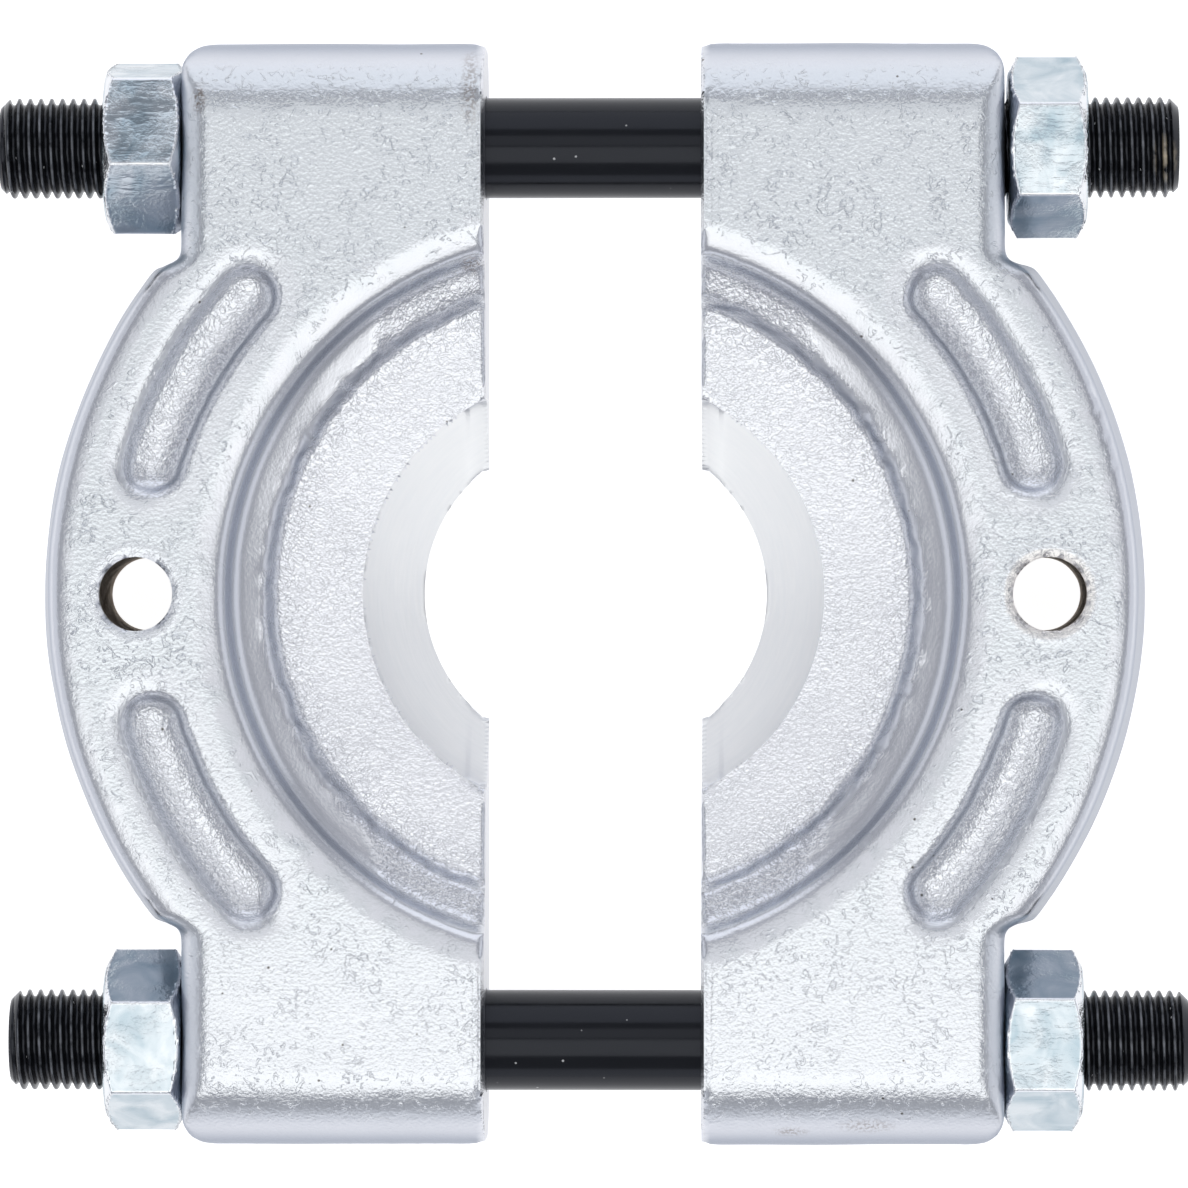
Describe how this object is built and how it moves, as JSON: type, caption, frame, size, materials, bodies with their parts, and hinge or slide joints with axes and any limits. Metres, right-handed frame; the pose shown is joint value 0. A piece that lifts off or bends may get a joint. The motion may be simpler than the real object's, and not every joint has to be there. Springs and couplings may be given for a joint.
{
  "type": "bearing separator",
  "caption": "Bearing separator: forged half rings with knife edges, drawn together behind a bearing by threaded studs and hex nuts, with tapped holes for a puller.",
  "frame": {"origin": "middle of the flat back, between the two halves and between the two studs", "axes": "+X along the studs towards the right half, +Y from the lower stud to the upper stud, +Z out of the ribbed face, away from the flat back"},
  "size_m": [0.1654, 0.1532, 0.026],
  "materials": {
    "plated_forging": "forged steel, blasted and silver plated, satin",
    "blackened_steel": "turned steel, blackened and oiled",
    "zinc_plated_nut": "bright zinc plating with a faint blue tint"
  },
  "bodies": {
    "left_half": {"left_jaw": "plated_forging"},
    "right_half": {"right_jaw": "plated_forging"},
    "upper_stud": {"upper_stud": "blackened_steel"},
    "lower_stud": {"lower_stud": "blackened_steel"},
    "upper_left_nut": {"upper_left_nut": "zinc_plated_nut"},
    "lower_left_nut": {"lower_left_nut": "zinc_plated_nut"},
    "upper_right_nut": {"upper_right_nut": "zinc_plated_nut"},
    "lower_right_nut": {"lower_right_nut": "zinc_plated_nut"}
  },
  "joints": [
    {"name": "jaw_slide", "type": "slide", "parent": "left_half", "child": "right_half", "axis": [1, 0, 0], "range_m": [-0.0299, 0.025]},
    {"name": "upper_stud_slide", "type": "slide", "parent": "left_half", "child": "upper_stud", "axis": [1, 0, 0], "range_m": [-0.015, 0.0126]},
    {"name": "upper_left_nut_turn", "type": "hinge", "parent": "left_half", "child": "upper_left_nut", "pos_m": [-0.0625, 0.0622, 0.013], "axis": [1, 0, 0], "range_deg": [-3010, 3600]},
    {"name": "upper_right_nut_turn", "type": "hinge", "parent": "right_half", "child": "upper_right_nut", "pos_m": [0.0625, 0.0622, 0.013], "axis": [1, 0, 0], "range_deg": [-3600, 3010]},
    {"name": "lower_stud_slide", "type": "slide", "parent": "left_half", "child": "lower_stud", "axis": [1, 0, 0], "range_m": [-0.015, 0.0126]},
    {"name": "lower_left_nut_turn", "type": "hinge", "parent": "left_half", "child": "lower_left_nut", "pos_m": [-0.0625, -0.0622, 0.013], "axis": [1, 0, 0], "range_deg": [-3010, 3600]},
    {"name": "lower_right_nut_turn", "type": "hinge", "parent": "right_half", "child": "lower_right_nut", "pos_m": [0.0625, -0.0622, 0.013], "axis": [1, 0, 0], "range_deg": [-3600, 3010]}
  ],
  "couplings": [
    {"joint": "upper_stud_slide", "follows": "jaw_slide", "ratio": 0.5},
    {"joint": "upper_left_nut_turn", "follows": "jaw_slide", "rad_per_m": -2094.4},
    {"joint": "upper_right_nut_turn", "follows": "jaw_slide", "rad_per_m": 2094.4},
    {"joint": "lower_stud_slide", "follows": "jaw_slide", "ratio": 0.5},
    {"joint": "lower_left_nut_turn", "follows": "jaw_slide", "rad_per_m": -2094.4},
    {"joint": "lower_right_nut_turn", "follows": "jaw_slide", "rad_per_m": 2094.4}
  ]
}
